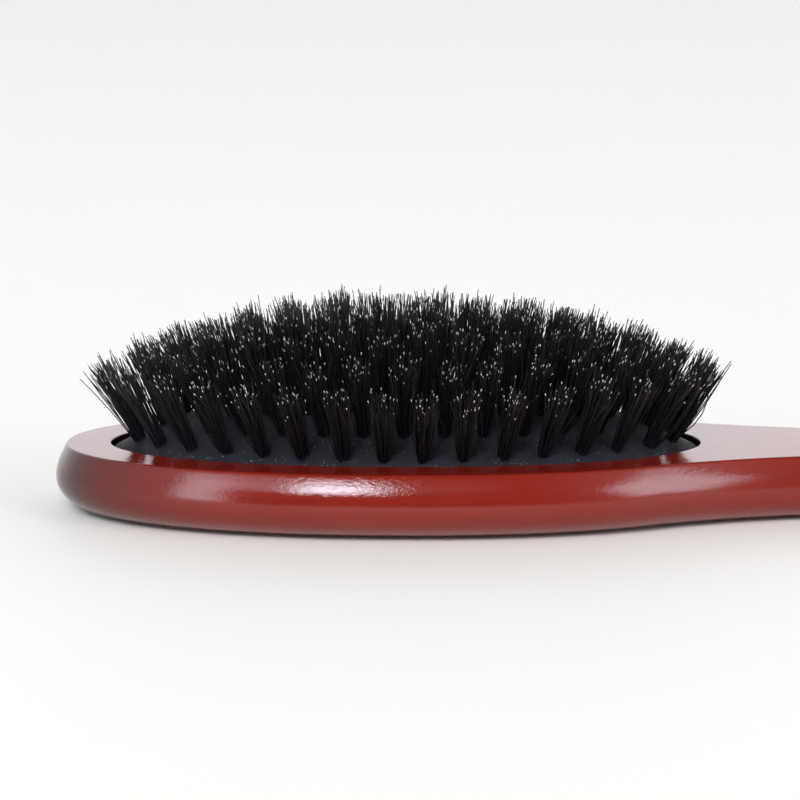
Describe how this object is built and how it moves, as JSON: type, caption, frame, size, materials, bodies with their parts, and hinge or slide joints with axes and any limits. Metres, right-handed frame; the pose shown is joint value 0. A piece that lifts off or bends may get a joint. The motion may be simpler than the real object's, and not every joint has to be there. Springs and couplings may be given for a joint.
{
  "type": "hair brush",
  "caption": "Oval cushion hair brush with a glossy red-brown wooden body, a domed dark rubber cushion and rings of black boar bristle tufts.",
  "frame": {"origin": "centre of the head's flat back", "axes": "+X from the head's centre to the handle's end, +Z out of the cushion along the bristles, so the flat back lies on Z = 0"},
  "size_m": [0.2242, 0.0584, 0.0354],
  "materials": {
    "lacquered_wood": "gloss",
    "cushion_rubber": "matte",
    "lining_felt": "matte",
    "boar_bristle": "satin"
  },
  "bodies": {
    "brush_body": {"wood_body": "lacquered_wood", "rubber_cushion": "cushion_rubber", "root_lining": "lining_felt"},
    "centre_row": {"centre_tufts_01": "boar_bristle", "centre_tufts_02": "boar_bristle", "centre_tufts_03": "boar_bristle", "centre_tufts_04": "boar_bristle"},
    "fourth_ring": {"fourth_tufts_01": "boar_bristle", "fourth_tufts_02": "boar_bristle", "fourth_tufts_03": "boar_bristle", "fourth_tufts_04": "boar_bristle", "fourth_tufts_05": "boar_bristle", "fourth_tufts_06": "boar_bristle", "fourth_tufts_07": "boar_bristle", "fourth_tufts_08": "boar_bristle", "fourth_tufts_09": "boar_bristle", "fourth_tufts_10": "boar_bristle"},
    "third_ring": {"third_tufts_01": "boar_bristle", "third_tufts_02": "boar_bristle", "third_tufts_03": "boar_bristle", "third_tufts_04": "boar_bristle", "third_tufts_05": "boar_bristle", "third_tufts_06": "boar_bristle", "third_tufts_07": "boar_bristle", "third_tufts_08": "boar_bristle", "third_tufts_09": "boar_bristle", "third_tufts_10": "boar_bristle", "third_tufts_11": "boar_bristle", "third_tufts_12": "boar_bristle"},
    "second_ring": {"second_tufts_01": "boar_bristle", "second_tufts_02": "boar_bristle", "second_tufts_03": "boar_bristle", "second_tufts_04": "boar_bristle", "second_tufts_05": "boar_bristle", "second_tufts_06": "boar_bristle", "second_tufts_07": "boar_bristle", "second_tufts_08": "boar_bristle", "second_tufts_09": "boar_bristle", "second_tufts_10": "boar_bristle", "second_tufts_11": "boar_bristle", "second_tufts_12": "boar_bristle", "second_tufts_13": "boar_bristle", "second_tufts_14": "boar_bristle"},
    "outer_ring": {"outer_tufts_01": "boar_bristle", "outer_tufts_02": "boar_bristle", "outer_tufts_03": "boar_bristle", "outer_tufts_04": "boar_bristle", "outer_tufts_05": "boar_bristle", "outer_tufts_06": "boar_bristle", "outer_tufts_07": "boar_bristle", "outer_tufts_08": "boar_bristle", "outer_tufts_09": "boar_bristle", "outer_tufts_10": "boar_bristle", "outer_tufts_11": "boar_bristle", "outer_tufts_12": "boar_bristle", "outer_tufts_13": "boar_bristle", "outer_tufts_14": "boar_bristle", "outer_tufts_15": "boar_bristle", "outer_tufts_16": "boar_bristle"}
  },
  "joints": [
    {"name": "cushion_press", "type": "slide", "parent": "brush_body", "child": "centre_row", "axis": [0, 0, 1], "range_m": [-0.004, 0], "stiffness_N_per_m": 1500, "springref_m": 0.0006, "deforming": ["rubber_cushion", "root_lining"]},
    {"name": "fourth_ring_press", "type": "slide", "parent": "brush_body", "child": "fourth_ring", "axis": [0, 0, 1], "range_m": [-0.00364, 0]},
    {"name": "third_ring_press", "type": "slide", "parent": "brush_body", "child": "third_ring", "axis": [0, 0, 1], "range_m": [-0.00284, 0]},
    {"name": "second_ring_press", "type": "slide", "parent": "brush_body", "child": "second_ring", "axis": [0, 0, 1], "range_m": [-0.00185, 0]},
    {"name": "outer_ring_press", "type": "slide", "parent": "brush_body", "child": "outer_ring", "axis": [0, 0, 1], "range_m": [-0.000748, 0]}
  ],
  "couplings": [
    {"joint": "fourth_ring_press", "follows": "cushion_press", "ratio": 0.91},
    {"joint": "third_ring_press", "follows": "cushion_press", "ratio": 0.711},
    {"joint": "second_ring_press", "follows": "cushion_press", "ratio": 0.462},
    {"joint": "outer_ring_press", "follows": "cushion_press", "ratio": 0.187}
  ]
}
